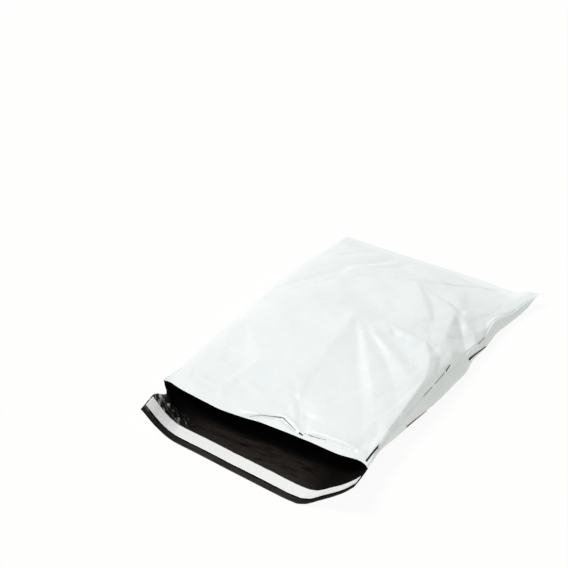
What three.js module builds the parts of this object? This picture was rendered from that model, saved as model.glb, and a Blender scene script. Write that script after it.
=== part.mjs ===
// A courier bag of white plastic film, black inside, lying open on its back panel.
// The back panel is longer than the front one, and what is left over is the closing flap.
// The flap carries a strip of hot melt adhesive under a siliconed release liner.
// Millimetres, +Z up. x runs across the mouth and y from the flap to the folded bottom.
// The origin is on the floor, under the middle of the bag's outline.

import * as THREE from 'three';
import { ParametricGeometry } from 'three/addons/geometries/ParametricGeometry.js';
import { mergeGeometries, mergeVertices } from 'three/addons/utils/BufferGeometryUtils.js';

// The flat bag, as it comes off the roll
const BAG_WIDTH = 300;
const BAG_LENGTH = 450;
const FLAP_DEPTH = 58;
const FILM_WALL = 0.9;
const SEAM_BAND = 2;

// The closure on the flap, measured from the mouth line towards the flap's edge
const LINER_START = 31;
const LINER_WIDTH = 17.5;
const LINER_THICKNESS = 0.5;
const LINER_END_MARGIN = 1;
const ADHESIVE_SIDE_MARGIN = 3;
const ADHESIVE_END_MARGIN = 5;
const ADHESIVE_THICKNESS = 0.4;
const STACK_GAP = 0.3;

// How the opened bag stands: [share of the bag's length, millimetres]
const CROWN_HEIGHT = [
  [0, 32], [0.1, 38], [0.25, 47], [0.4, 54], [0.5, 57], [0.62, 55], [0.765, 47], [0.88, 31], [1, 12.5],
];
const RIGHT_SEAM_HEIGHT = [
  [0, 29], [0.08, 28], [0.2, 25.5], [0.35, 25], [0.5, 28],
  [0.6, 22], [0.7, 18], [0.78, 22], [0.88, 14], [1, 18],
];
const RIGHT_SEAM_PULL = [
  [0, 7], [0.08, 12], [0.2, 15], [0.35, 16], [0.5, 17],
  [0.7, 16], [0.78, 19], [0.88, 12], [0.95, 5], [1, -1],
];
const LEFT_SEAM_HEIGHT = [[0, 35], [0.1, 30], [0.5, 27], [0.8, 21], [1, 14]];
const LEFT_SEAM_PULL = [[0, 2.5], [0.06, 2], [0.2, 0], [0.8, 0], [1, 1.5]];
const RIGHT_FOOT_INSET = [[0, 52], [0.08, 38], [0.2, 23], [0.45, 14], [0.6, 8], [0.9, 7], [1, 14]];
const LEFT_FOOT_INSET = [[0, 44], [0.08, 34], [0.2, 24], [1, 24]];
const RIGHT_SIDE_BELLY = [
  [0, 0], [0.12, 1], [0.3, 6], [0.45, 12], [0.54, 12], [0.64, 5], [0.78, 7], [0.9, 4], [1, 0],
];

// The share of the half width that lies flat on the floor, and the roll up to the seams in degrees
const RIGHT_FLOOR_SHARE = [[0, 0.6], [0.25, 0.8], [1, 0.8]];
const LEFT_FLOOR_SHARE = [[0, 0.68], [0.25, 0.8], [1, 0.8]];
const RIGHT_ROLL = [[0, 35], [0.08, 55], [0.25, 80], [1, 80]];
const LEFT_ROLL = [[0, 45], [0.08, 58], [0.25, 80], [1, 80]];

// The mouth line's waver and the lip of the flap: [share of the half width, millimetres]
const MOUTH_WAVER = [
  [-1, 5.5], [-0.88, 8], [-0.69, 4.3], [-0.42, -0.3], [-0.28, -2.8], [-0.1, -0.5], [0, 1.9], [0.3, 2],
  [0.57, 0.2], [0.8, 4], [1, -0.5],
];
const MOUTH_WAVER_REACH = 70;
const LIP_LEFT_TURN_IN = 10;
const LIP_RIGHT_TURN_IN = 0.4;
const LIP_REACH = [
  [-1, -6.5], [-0.7, -7], [-0.5, -5.3], [-0.34, -3.2], [-0.1, 0.5], [0.137, 3.8], [0.37, 7.1],
  [0.52, 8.7], [0.66, 8.5], [0.717, 5], [0.757, 1.5], [0.83, -1.5], [0.88, -5], [0.93, -9.5], [1, -13],
];
const LIP_HEIGHT = [
  [-1, 26], [-0.9, 16.5], [-0.8, 9.5], [-0.7, 3], [-0.62, 0.5], [-0.5, 0],
  [0.58, 0], [0.66, 4], [0.757, 10.5], [0.83, 17], [0.88, 20], [0.93, 23], [1, 32],
];
const LIP_CURL = 4;

// The flap keeps its even distance from the lip up to its free part, and its left end is dented
const FLAP_FREE = 28;
const NOTCH_MIDDLE = -13;
const NOTCH_REACH = 8;
const NOTCH_PULL = 11;
const NOTCH_DROP = 6;

// The folded bottom, where the right corner sticks out as an ear
const FOLD_LIFT_REACH = 24;
const EAR_REACH = 5;
const EAR_DIP = 6;
const EAR_CREST = 3;
const CORNER_ROUND = 5;

// Folds of the front panel. Each is a line of points on the flat film, and the film rises or sinks
// to the points' height: [share of the half width, share of the length, millimetres]
const FOLD_LINES = [
  [[0.03, 0.49, 4], [0.04, 0.35, 3], [0.05, 0.22, 1.8], [0.07, 0.14, 1], [0.08, 0.08, 0]],
  [[0.07, 0.47, 1.5], [0.17, 0.4, -1.2], [0.31, 0.3, -2.6], [0.42, 0.24, -2.8]],
  [[0.42, 0.24, -2.8], [0.53, 0.18, -2.2], [0.69, 0.09, 0]],
  [[0.03, 0.49, 4], [0.23, 0.4, 3], [0.41, 0.29, 2.2], [0.7, 0.17, 1], [0.83, 0.11, 0]],
  [[0.13, 0.47, 1], [0.29, 0.42, -0.8], [0.48, 0.35, -1.6], [0.64, 0.3, -1.4], [0.77, 0.25, -0.6]],
  [[0.03, 0.49, 4], [0.24, 0.44, 2.8], [0.42, 0.4, 2.6], [0.56, 0.37, 2.2], [0.8, 0.32, 1]],
  [[0.16, 0.48, 1.2], [0.3, 0.46, -0.4], [0.41, 0.44, -1], [0.59, 0.41, -1], [0.71, 0.4, 0]],
  [[0.03, 0.54, 0.5], [0.17, 0.52, 0.8], [0.31, 0.5, 1.6], [0.48, 0.5, 2.8], [0.58, 0.5, 3.4]],
  [[0.2, 0.54, -0.8], [0.35, 0.52, -1], [0.47, 0.52, -0.8], [0.56, 0.53, 0.4]],
  [[0.58, 0.5, 3.4], [0.71, 0.46, 3.2], [0.79, 0.42, 3.4], [0.84, 0.37, 3.4], [0.87, 0.3, 3.2]],
  [[0.87, 0.3, 3.2], [0.89, 0.22, 3], [0.9, 0.15, 3], [0.91, 0.09, 2.6], [0.93, 0.05, 1.4]],
  [[0.58, 0.5, 3.4], [0.71, 0.49, -1.6], [0.83, 0.48, -3.2], [0.98, 0.47, -1]],
  [[0.67, 0.56, 3.6], [0.83, 0.53, 3.2], [0.97, 0.5, 1]],
  [[0.55, 0.71, 4.4], [0.6, 0.64, 3.8], [0.67, 0.56, 3.6]],
  [[0.55, 0.71, 4.4], [0.65, 0.68, -2], [0.79, 0.64, -4], [0.94, 0.6, -1]],
  [[0.55, 0.71, 4.4], [0.62, 0.7, 3.6], [0.71, 0.69, 3], [0.82, 0.68, 2.4], [0.93, 0.66, 0.5]],
  [[0.51, 0.77, 0.4], [0.63, 0.76, -2.4], [0.75, 0.76, -3.2], [0.88, 0.76, -2], [0.95, 0.76, 0]],
  [[0.13, 0.78, 4.4], [0.29, 0.69, 2.4], [0.44, 0.62, 1]],
  [[0.21, 0.75, 1.6], [0.39, 0.68, -2], [0.48, 0.61, -1]],
  [[0.13, 0.78, 4.4], [0.25, 0.74, 2.4], [0.38, 0.73, 2.6], [0.47, 0.72, 3.4], [0.55, 0.71, 4.4]],
  [[0.23, 0.77, 1], [0.35, 0.75, -0.8], [0.47, 0.75, -1.6], [0.57, 0.74, -2]],
  [[-0.8, 0.46, 0], [-0.57, 0.49, 0.8], [-0.44, 0.56, 1.5], [-0.33, 0.66, 2], [-0.31, 0.74, 3.2]],
  [[-0.31, 0.74, 3.2], [-0.12, 0.75, 2.4], [0.03, 0.76, 2.8], [0.13, 0.78, 4.4]],
  [[0.13, 0.78, 4.4], [0.26, 0.83, 3], [0.38, 0.91, 1.8], [0.49, 0.98, 0.4]],
  [[-0.73, 0.35, 0], [-0.65, 0.42, 0.8], [-0.38, 0.47, 2], [-0.25, 0.5, 2.6], [0.03, 0.49, 4]],
  [[-0.55, 0.29, -0.4], [-0.47, 0.24, -1.6], [-0.37, 0.16, -1.6], [-0.32, 0.11, -0.4]],
  [[0.29, 0.03, 1.2], [0.4, 0.04, 1.8], [0.57, 0.04, 2], [0.76, 0.03, 1]],
  [[-1, -0.03, 0], [1, -0.03, 0]],
  [[-1, 0.98, 0], [1, 0.98, 0]],
  [[-0.95, 0, 0], [-0.95, 1, 0]],
  [[1, 0, 0], [1, 1, 0]],
];
const FOLD_ROUNDING = 2;
const FOLD_GRIP = 1.5;

// How finely the film is laid out in flat facets
const FACETS_ACROSS = 32;
const FACETS_ALONG = 42;
const STRIP_FACETS = 2;
const EDGE_CROWDING = 0.9;
const BOTTOM_CROWDING = 1.15;

// How the front panel bulges from seam to seam
const CROWN_SQUARENESS = 3;
const SHOULDER_FULLNESS = 0.62;
const WIDTH_ROLL = THREE.MathUtils.degToRad(77);

// Towards the ear the right side is slack and slopes down to its seam: shares of the bag's length
const SLACK_FROM = 0.45;
const SLACK_FULL = 0.62;
const SLACK_SQUARENESS = 3;

// The step over which a face's direction is taken
const NORMAL_STEP = 2;

const FILM_COLOUR = 0xeef5f3;
const ADHESIVE_COLOUR = 0xe9e4cf;
const LINER_COLOUR = 0xebefed;
const FILM_ROUGHNESS = 0.4;
const ADHESIVE_ROUGHNESS = 0.55;
const LINER_ROUGHNESS = 0.5;

const { clamp, smoothstep, lerp } = THREE.MathUtils;

// A smooth curve through [share, value] stations that never overshoots them
function along(stations, share) {
  const last = stations.length - 1;
  const place = clamp(share, stations[0][0], stations[last][0]);
  let k = 0;
  while (k < last - 1 && place > stations[k + 1][0]) k += 1;
  const slope = (i) => (stations[i + 1][1] - stations[i][1]) / (stations[i + 1][0] - stations[i][0]);
  const tangent = (i) => {
    if (i === 0) return slope(0);
    if (i === last) return slope(last - 1);
    const before = slope(i - 1);
    const after = slope(i);
    return before * after > 0 ? (2 * before * after) / (before + after) : 0;
  };
  const span = stations[k + 1][0] - stations[k][0];
  const u = (place - stations[k][0]) / span;
  const rise = u * u * (3 - 2 * u);
  const leave = u * (1 - u) * (1 - u) * span * tangent(k);
  const arrive = u * u * (u - 1) * span * tangent(k + 1);
  return lerp(stations[k][1], stations[k + 1][1], rise) + leave + arrive;
}

// Film places: across is -1 to 1 from seam to seam, t is millimetres from the mouth line
function seam(t, side) {
  const share = clamp(t / BAG_LENGTH, 0, 1);
  const pull = along(side > 0 ? RIGHT_SEAM_PULL : LEFT_SEAM_PULL, share);
  const height = along(side > 0 ? RIGHT_SEAM_HEIGHT : LEFT_SEAM_HEIGHT, share);
  return { x: side * (BAG_WIDTH / 2 - pull), z: height };
}

function endPlace(across, t) {
  const toBottom = smoothstep(t, 0.7 * BAG_LENGTH, BAG_LENGTH);
  const ear = EAR_REACH * smoothstep(across, 0.55, 1) * toBottom;
  const dip = EAR_DIP * Math.exp(-(((across - 0.64) / 0.22) ** 2)) * toBottom;
  const rounding = CORNER_ROUND * smoothstep(-across, 0.92, 1) * toBottom;
  return t + ear - dip - rounding;
}

function mouthWaver(across, t) {
  return along(MOUTH_WAVER, across) * (1 - smoothstep(t, 0, MOUTH_WAVER_REACH));
}

function foldHeight(across, t) {
  const corner = seam(t, across > 0 ? 1 : -1).z;
  const middle = along(CROWN_HEIGHT, 1);
  const crest = EAR_CREST * (smoothstep(across, 0.6, 0.78) - smoothstep(across, 0.78, 0.96));
  return lerp(middle, corner, Math.abs(across) ** 3) + crest;
}

// Half the thickness of the cut edge, where the two panels lie on each other
function edgeHalf(across, t) {
  const atSeam = smoothstep(Math.abs(across), 0.93, 1);
  const atFold = smoothstep(t, 0.975 * BAG_LENGTH, BAG_LENGTH);
  return (FILM_WALL / 2) * Math.max(atSeam, atFold);
}

// The distance from a place on the flat film to a fold line, and the fold's height there
function nearestOnFold(line, place) {
  let nearest = { distance: Infinity, height: 0 };
  for (let i = 0; i < line.length - 1; i += 1) {
    const [[a, p, low], [b, q, high]] = [line[i], line[i + 1]];
    const start = new THREE.Vector2((a * BAG_WIDTH) / 2, p * BAG_LENGTH);
    const leg = new THREE.Vector2((b * BAG_WIDTH) / 2, q * BAG_LENGTH).sub(start);
    const share = clamp(place.clone().sub(start).dot(leg) / leg.lengthSq(), 0, 1);
    const distance = start.addScaledVector(leg, share).distanceTo(place);
    if (distance < nearest.distance) nearest = { distance, height: lerp(low, high, share) };
  }
  return nearest;
}

// How far a point of the front panel stands off its smooth shape
function foldRise(across, t) {
  const place = new THREE.Vector2((across * BAG_WIDTH) / 2, t);
  let pull = 0;
  let total = 0;
  for (const line of FOLD_LINES) {
    const { distance, height } = nearestOnFold(line, place);
    const weight = Math.hypot(distance, FOLD_ROUNDING) ** (-2 * FOLD_GRIP);
    pull += weight;
    total += weight * height;
  }
  const nearSeam = 1 - smoothstep(Math.abs(across), 0.95, 1);
  const nearBottom = 1 - smoothstep(t, 0.93 * BAG_LENGTH, 0.98 * BAG_LENGTH);
  return (total / pull) * nearSeam * smoothstep(t, 0, 6) * nearBottom;
}

function frontReach(across, t) {
  const spread = Math.sin(across * WIDTH_ROLL) / Math.sin(WIDTH_ROLL);
  return lerp(seam(t, -1).x, seam(t, 1).x, (spread + 1) / 2);
}

// The outer face of the front panel, without its folds
function smoothFront(across, t) {
  const share = clamp(t / BAG_LENGTH, 0, 1);
  const edge = lerp(seam(t, -1).z, seam(t, 1).z, (across + 1) / 2);
  const place = Math.min(1, Math.abs(across));
  const taut = (1 - place ** CROWN_SQUARENESS) ** SHOULDER_FULLNESS;
  const spread = Math.sin(place * WIDTH_ROLL) / Math.sin(WIDTH_ROLL);
  const slack = smoothstep(share, SLACK_FROM, SLACK_FULL) * smoothstep(across, 0, 0.2);
  const fullness = lerp(taut, 1 - spread ** SLACK_SQUARENESS, slack);
  const open = edge + (along(CROWN_HEIGHT, share) - edge) * fullness;
  const folded = smoothstep(t, 0.93 * BAG_LENGTH, BAG_LENGTH);
  return new THREE.Vector3(
    frontReach(across, t),
    endPlace(across, t) + mouthWaver(across, t),
    lerp(open, foldHeight(across, t), folded) + edgeHalf(across, t),
  );
}

// The outer face of the front panel
function frontFace(across, t) {
  const rise = foldRise(across, t);
  if (rise === 0) return smoothFront(across, t);
  return smoothFront(across, t).addScaledVector(facing(smoothFront, across, t), rise);
}

// The outer face of the back panel, flat on the floor and rolled up to the seams
function backFace(across, t) {
  const side = across > 0 ? 1 : -1;
  const place = Math.min(1, Math.abs(across));
  const share = clamp(t / BAG_LENGTH, 0, 1);
  const { x: seamX, z: seamZ } = seam(t, side);
  const inset = along(side > 0 ? RIGHT_FOOT_INSET : LEFT_FOOT_INSET, share);
  const floor = along(side > 0 ? RIGHT_FLOOR_SHARE : LEFT_FLOOR_SHARE, share);
  const fullRoll = THREE.MathUtils.degToRad(along(side > 0 ? RIGHT_ROLL : LEFT_ROLL, share));
  const belly = side > 0 ? along(RIGHT_SIDE_BELLY, share) : 0;
  const roll = clamp((place - floor) / (1 - floor), 0, 1);
  const angle = roll * fullRoll;
  const foot = Math.abs(seamX) - inset;
  const flat = (foot * Math.min(place, floor)) / floor;
  const rolled = (inset * Math.sin(angle)) / Math.sin(fullRoll) + belly * Math.sin(Math.PI * roll);
  const sideHeight = (seamZ * (1 - Math.cos(angle))) / (1 - Math.cos(fullRoll));
  const lift = Math.max(0, 1 - (BAG_LENGTH - t) / FOLD_LIFT_REACH) ** 2;
  return new THREE.Vector3(
    lerp(side * (flat + rolled), frontReach(across, t), lift),
    endPlace(across, t) + mouthWaver(across, t) * smoothstep(place, 0.75, 1),
    lerp(sideHeight, foldHeight(across, t), lift) - edgeHalf(across, t),
  );
}

// The outer face of the flap, which runs on from the back panel to its lip
function flapFace(across, t) {
  const root = backFace(across, 0);
  const turnIn = across > 0 ? LIP_RIGHT_TURN_IN : LIP_LEFT_TURN_IN;
  const halfWidth = BAG_WIDTH / 2 - turnIn * smoothstep(Math.abs(across), 0.5, 1);
  const lip = new THREE.Vector3(
    across * halfWidth,
    -FLAP_DEPTH - along(LIP_REACH, across),
    along(LIP_HEIGHT, across),
  );
  const depth = lip.distanceTo(root);
  const nearRoot = lerp(depth, FLAP_DEPTH - FLAP_FREE, -t / FLAP_FREE);
  const share = 1 - (t < -FLAP_FREE ? FLAP_DEPTH + t : nearRoot) / depth;
  const curl = LIP_CURL * share * share * smoothstep(Math.abs(across), 0.8, 1);
  const notch = Math.exp(-(((t - NOTCH_MIDDLE) / NOTCH_REACH) ** 2)) * smoothstep(-across, 0.78, 1);
  const dent = new THREE.Vector3(NOTCH_PULL * notch, 0, curl - NOTCH_DROP * notch);
  return root.lerp(lip, share).add(dent);
}

function backAndFlap(across, t) {
  return t < 0 ? flapFace(across, t) : backFace(across, t);
}

// The direction that a face looks in, from its neighbours along and across
function facing(face, across, t) {
  const step = NORMAL_STEP / (BAG_WIDTH / 2);
  const west = face(Math.max(-1, across - step), t);
  const east = face(Math.min(1, across + step), t);
  const south = face(across, t - NORMAL_STEP);
  const north = face(across, Math.min(BAG_LENGTH, t + NORMAL_STEP));
  return east.sub(west).cross(north.sub(south)).normalize();
}

// The inner face of the film lies one wall in, and the two panels join at the welds and the fold
function innerFace(face, inwards, across, t) {
  const outer = face(across, t);
  const inner = outer.clone().addScaledVector(facing(face, across, t), inwards * FILM_WALL);
  const join = outer.clone();
  join.x -= Math.sign(across) * SEAM_BAND * smoothstep(Math.abs(across), 0.9, 1);
  join.y -= SEAM_BAND * smoothstep(t, 0.96 * BAG_LENGTH, BAG_LENGTH);
  join.z += inwards * edgeHalf(across, t);
  const atSeam = smoothstep(Math.abs(across), 0.93, 1);
  const atFold = smoothstep(t, 0.975 * BAG_LENGTH, BAG_LENGTH);
  return inner.lerp(join, t < 0 ? atSeam * (1 + t / FLAP_DEPTH) : Math.max(atSeam, atFold));
}

const frontOuter = (across, t) => frontFace(across, t);
const frontInner = (across, t) => innerFace(frontFace, -1, across, Math.max(t, 0));
const backOuter = (across, t) => backAndFlap(across, t);
const backInner = (across, t) => innerFace(backAndFlap, 1, across, t);

// Stations that crowd towards the seams, and towards the folded bottom
function acrossAt(share) {
  const angle = (Math.round(share * FACETS_ACROSS) / FACETS_ACROSS - 0.5) * Math.PI * EDGE_CROWDING;
  return Math.sin(angle) / Math.sin((Math.PI / 2) * EDGE_CROWDING);
}

const BAG_STATIONS = Array.from({ length: FACETS_ACROSS + 1 }, (_, i) => acrossAt(i / FACETS_ACROSS));
const STATION_SLACK = 0.005;

function bagPlaceAt(share) {
  const step = Math.round(share * FACETS_ALONG) / FACETS_ALONG;
  return BAG_LENGTH * (1 - (1 - step) ** BOTTOM_CROWDING);
}

// The flap has facet lines where the closure's edges and middle lie
const FLAP_LINES = [
  -FLAP_DEPTH,
  -LINER_START - LINER_WIDTH,
  -LINER_START - LINER_WIDTH / 2,
  -LINER_START,
  NOTCH_MIDDLE - NOTCH_REACH,
  NOTCH_MIDDLE,
  NOTCH_MIDDLE + NOTCH_REACH,
  0,
];
const FLAP_FACETS = FLAP_LINES.length - 1;

function flapPlaceAt(share) {
  return FLAP_LINES[Math.round(share * FLAP_FACETS)];
}

function sheet(pointAt, facetsAcross, facetsAlong) {
  const write = (u, v, target) => target.copy(pointAt(u, v));
  const geometry = new ParametricGeometry(write, facetsAcross, facetsAlong);
  geometry.deleteAttribute('normal');
  geometry.deleteAttribute('uv');
  return geometry;
}

// The same facets, looking the other way
function turnedSheet(pointAt, facetsAcross, facetsAlong) {
  const geometry = sheet(pointAt, facetsAcross, facetsAlong);
  geometry.index.array.reverse();
  return geometry;
}

// The end of a side weld at the mouth, a small triangle
function mouthCorner(side) {
  const ends = [backOuter(side, 0), frontOuter(side, 0)];
  const corner = new THREE.BufferGeometry().setFromPoints([frontInner(side, 0), ...ends]);
  return corner.setIndex(side > 0 ? [0, 1, 2] : [0, 2, 1]);
}

function closedBody(sheets) {
  const body = mergeVertices(mergeGeometries(sheets), 1e-3);
  body.computeVertexNormals();
  return body;
}

function filmBag() {
  const bag = (face) => (u, v) => face(acrossAt(u), bagPlaceAt(v));
  const flap = (face) => (u, v) => face(acrossAt(u), flapPlaceAt(v));
  const rim = (lower, upper, t) => (u, v) => (v < 0.5 ? lower : upper)(acrossAt(u), t);
  const bagSide = (side) => (u, v) => (v < 0.5 ? backOuter : frontOuter)(side, bagPlaceAt(u));
  const flapSide = (side) => (u, v) => (v < 0.5 ? backOuter : backInner)(side, flapPlaceAt(u));
  return closedBody([
    sheet(bag(frontOuter), FACETS_ACROSS, FACETS_ALONG),
    turnedSheet(bag(frontInner), FACETS_ACROSS, FACETS_ALONG),
    sheet(bag(backInner), FACETS_ACROSS, FACETS_ALONG),
    turnedSheet(bag(backOuter), FACETS_ACROSS, FACETS_ALONG),
    sheet(flap(backInner), FACETS_ACROSS, FLAP_FACETS),
    turnedSheet(flap(backOuter), FACETS_ACROSS, FLAP_FACETS),
    sheet(rim(frontInner, frontOuter, 0), FACETS_ACROSS, 1),
    sheet(rim(backOuter, backInner, -FLAP_DEPTH), FACETS_ACROSS, 1),
    sheet(flapSide(1), FLAP_FACETS, 1),
    turnedSheet(flapSide(-1), FLAP_FACETS, 1),
    sheet(bagSide(1), FACETS_ALONG, 1),
    turnedSheet(bagSide(-1), FACETS_ALONG, 1),
    turnedSheet(rim(backOuter, frontOuter, BAG_LENGTH), FACETS_ACROSS, 1),
    mouthCorner(1),
    mouthCorner(-1),
  ]);
}

// A place on the flat facets of the flap's inner face, between two stations
function onFacets(across, t) {
  const above = BAG_STATIONS.findIndex((station) => station >= across - STATION_SLACK / 10);
  const after = Math.max(above, 1);
  const [low, high] = [BAG_STATIONS[after - 1], BAG_STATIONS[after]];
  return backInner(low, t).lerp(backInner(high, t), (across - low) / (high - low));
}

// A flat strip that follows the flap's inner face, between two heights above it
function strip(start, width, endMargin, low, high) {
  const reach = 1 - endMargin / (BAG_WIDTH / 2);
  const inside = BAG_STATIONS.filter((across) => Math.abs(across) < reach - STATION_SLACK);
  const stations = [-reach, ...inside, reach];
  const facets = stations.length - 1;
  const at = (u, v, height) => {
    const across = stations[Math.round(u * facets)];
    const t = -start - width * (1 - Math.round(v * STRIP_FACETS) / STRIP_FACETS);
    return onFacets(across, t).addScaledVector(facing(backAndFlap, across, t), height);
  };
  const face = (height) => (u, v) => at(u, v, height);
  const longEdge = (v) => (u, w) => at(u, v, w < 0.5 ? low : high);
  const shortEdge = (u) => (v, w) => at(u, v, w < 0.5 ? low : high);
  return closedBody([
    sheet(face(high), facets, STRIP_FACETS),
    turnedSheet(face(low), facets, STRIP_FACETS),
    sheet(longEdge(0), facets, 1),
    turnedSheet(longEdge(1), facets, 1),
    sheet(shortEdge(1), STRIP_FACETS, 1),
    turnedSheet(shortEdge(0), STRIP_FACETS, 1),
  ]);
}

function finish(colour, roughness) {
  return new THREE.MeshStandardMaterial({ color: colour, roughness, metalness: 0 });
}

function piece(name, geometry, material) {
  const mesh = new THREE.Mesh(geometry, material);
  mesh.name = name;
  return mesh;
}

const adhesiveFoot = STACK_GAP;
const adhesiveTop = adhesiveFoot + ADHESIVE_THICKNESS;
const linerFoot = adhesiveTop + STACK_GAP;
const linerTop = linerFoot + LINER_THICKNESS;
const adhesiveStart = LINER_START + ADHESIVE_SIDE_MARGIN;
const adhesiveWidth = LINER_WIDTH - 2 * ADHESIVE_SIDE_MARGIN;
const adhesive = strip(adhesiveStart, adhesiveWidth, ADHESIVE_END_MARGIN, adhesiveFoot, adhesiveTop);
const liner = strip(LINER_START, LINER_WIDTH, LINER_END_MARGIN, linerFoot, linerTop);

const mailer = new THREE.Group();
mailer.add(piece('film_bag', filmBag(), finish(FILM_COLOUR, FILM_ROUGHNESS)));
mailer.add(piece('adhesive_strip', adhesive, finish(ADHESIVE_COLOUR, ADHESIVE_ROUGHNESS)));
mailer.add(piece('release_liner', liner, finish(LINER_COLOUR, LINER_ROUGHNESS)));

const outline = new THREE.Box3().setFromObject(mailer);
const middle = outline.getCenter(new THREE.Vector3());
mailer.position.set(-middle.x, -middle.y, -outline.min.z);

export default mailer;
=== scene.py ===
import math

import bmesh
import bpy
import numpy as np
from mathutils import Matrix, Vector
from mathutils.bvhtree import BVHTree
from mathutils.geometry import delaunay_2d_cdt


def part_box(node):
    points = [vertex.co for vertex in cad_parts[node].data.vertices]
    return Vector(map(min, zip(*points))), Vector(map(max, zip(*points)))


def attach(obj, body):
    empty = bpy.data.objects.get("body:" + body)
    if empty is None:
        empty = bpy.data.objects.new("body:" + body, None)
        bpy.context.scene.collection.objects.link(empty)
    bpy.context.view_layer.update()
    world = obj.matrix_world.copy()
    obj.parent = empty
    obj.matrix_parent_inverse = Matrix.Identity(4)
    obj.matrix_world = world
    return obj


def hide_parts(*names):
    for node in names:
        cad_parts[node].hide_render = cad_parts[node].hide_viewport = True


# An opened courier bag of plastic film, white outside and black inside, lying on its back panel.
# Lengths of the flat bag and of its folds are in millimetres, and meshes are made in metres.

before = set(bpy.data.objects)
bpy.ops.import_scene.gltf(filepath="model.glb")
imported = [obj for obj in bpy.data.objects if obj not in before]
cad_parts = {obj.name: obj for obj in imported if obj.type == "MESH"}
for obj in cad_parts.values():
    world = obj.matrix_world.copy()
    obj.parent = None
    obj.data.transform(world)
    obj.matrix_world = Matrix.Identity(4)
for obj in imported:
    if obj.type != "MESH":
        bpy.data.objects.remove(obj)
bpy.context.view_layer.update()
MM = 0.001

# The flat bag
BAG_WIDTH = 300
BAG_LENGTH = 450
FLAP_DEPTH = 58
HALF_WIDTH = BAG_WIDTH / 2
FILM_THICKNESS = 0.3

# The closure on the flap, measured from the mouth line towards the flap's edge
LINER_START = 31
LINER_WIDTH = 17.5
LINER_END_MARGIN = 1
ADHESIVE_END_MARGIN = 3
ADHESIVE_SIDE_MARGIN = 3

# How the opened bag stands, by share of the bag's length: heights, pulls, insets and the belly
# in millimetres, floor shares of the half width, and rolls in degrees
CROWN_HEIGHT = [
    (0, 32), (0.1, 38), (0.25, 47), (0.4, 54), (0.5, 57),
    (0.62, 55), (0.765, 47), (0.88, 31), (1, 12.5),
]
RIGHT_SEAM_HEIGHT = [
    (0, 29), (0.08, 28), (0.2, 25.5), (0.35, 25), (0.5, 28),
    (0.6, 22), (0.7, 18), (0.78, 22), (0.88, 14), (1, 18),
]
RIGHT_SEAM_PULL = [
    (0, 7), (0.08, 12), (0.2, 15), (0.35, 16), (0.5, 17),
    (0.7, 16), (0.78, 19), (0.88, 12), (0.95, 5), (1, -1),
]
LEFT_SEAM_HEIGHT = [(0, 35), (0.1, 30), (0.5, 27), (0.8, 21), (1, 14)]
LEFT_SEAM_PULL = [(0, 2.5), (0.06, 2), (0.2, 0), (0.8, 0), (1, 1.5)]
RIGHT_FOOT_INSET = [(0, 52), (0.08, 38), (0.2, 23), (0.45, 14), (0.6, 8), (0.9, 7), (1, 14)]
RIGHT_FLOOR_SHARE = [(0, 0.6), (0.25, 0.8), (1, 0.8)]
RIGHT_ROLL = [(0, 35), (0.08, 55), (0.25, 80), (1, 80)]
RIGHT_SIDE_BELLY = [
    (0, 0), (0.12, 1), (0.3, 6), (0.45, 12), (0.54, 12),
    (0.64, 5), (0.78, 7), (0.9, 4), (1, 0),
]
LEFT_FOOT_INSET = [(0, 44), (0.08, 34), (0.2, 24), (1, 24)]
LEFT_FLOOR_SHARE = [(0, 0.68), (0.25, 0.8), (1, 0.8)]
LEFT_ROLL = [(0, 45), (0.08, 58), (0.25, 80), (1, 80)]

# The mouth line's waver and the lip of the flap: share of the half width, millimetres
MOUTH_WAVER = [
    (-1, 5.5), (-0.88, 8), (-0.69, 4.3), (-0.42, -0.3), (-0.28, -2.8), (-0.1, -0.5),
    (0, 1.9), (0.3, 2), (0.57, 0.2), (0.8, 4), (1, -0.5),
]
MOUTH_WAVER_REACH = 70
LIP_LEFT_TURN_IN = 10
LIP_RIGHT_TURN_IN = 0.4
LIP_REACH = [
    (-1, -6.5), (-0.7, -7), (-0.5, -5.3), (-0.34, -3.2), (-0.1, 0.5), (0.137, 3.8),
    (0.37, 7.1), (0.52, 8.7), (0.66, 8.5), (0.717, 5), (0.757, 1.5), (0.83, -1.5),
    (0.88, -5), (0.93, -9.5), (1, -13),
]
LIP_HEIGHT = [
    (-1, 26), (-0.9, 16.5), (-0.8, 9.5), (-0.7, 3), (-0.62, 0.5), (-0.5, 0),
    (0.58, 0), (0.66, 4), (0.757, 10.5), (0.83, 17), (0.88, 20), (0.93, 23), (1, 32),
]
LIP_CURL = 4
LIP_TURN_FROM = 0.5
LIP_CURL_FROM = 0.8
FLAP_FREE = 28
NOTCH_MIDDLE = -13
NOTCH_REACH = 8
NOTCH_FROM = 0.78
NOTCH_PULL = 11
NOTCH_DROP = 6

# The folded bottom, where the right corner sticks out as an ear: millimetres, and for places
# across the bag shares of the half width
BOTTOM_FROM = 0.7 * BAG_LENGTH
FRONT_FOLD_FROM = 0.93 * BAG_LENGTH
FOLD_LIFT_REACH = 24
FOLD_END_SQUARENESS = 3
EAR_REACH = 5
EAR_FROM = 0.55
EAR_DIP = 6
EAR_DIP_MIDDLE, EAR_DIP_WIDTH = 0.64, 0.22
EAR_CREST = 3
EAR_CREST_FROM, EAR_CREST_TOP, EAR_CREST_END = 0.6, 0.78, 0.96
CORNER_ROUND = 5
CORNER_FROM = 0.92

# How the front panel bulges from seam to seam
WIDTH_ROLL = math.radians(77)
CROWN_SQUARENESS = 3
SHOULDER_FULLNESS = 0.62

# Towards the ear the right side is slack and slopes down to its seam
SLACK_FROM = 0.45 * BAG_LENGTH
SLACK_FULL = 0.62 * BAG_LENGTH
SLACK_ACROSS = 0.2
SLACK_SQUARENESS = 3

# The back panel follows the mouth line's waver from this share of the half width outwards
BACK_WAVER_FROM = 0.75

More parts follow.
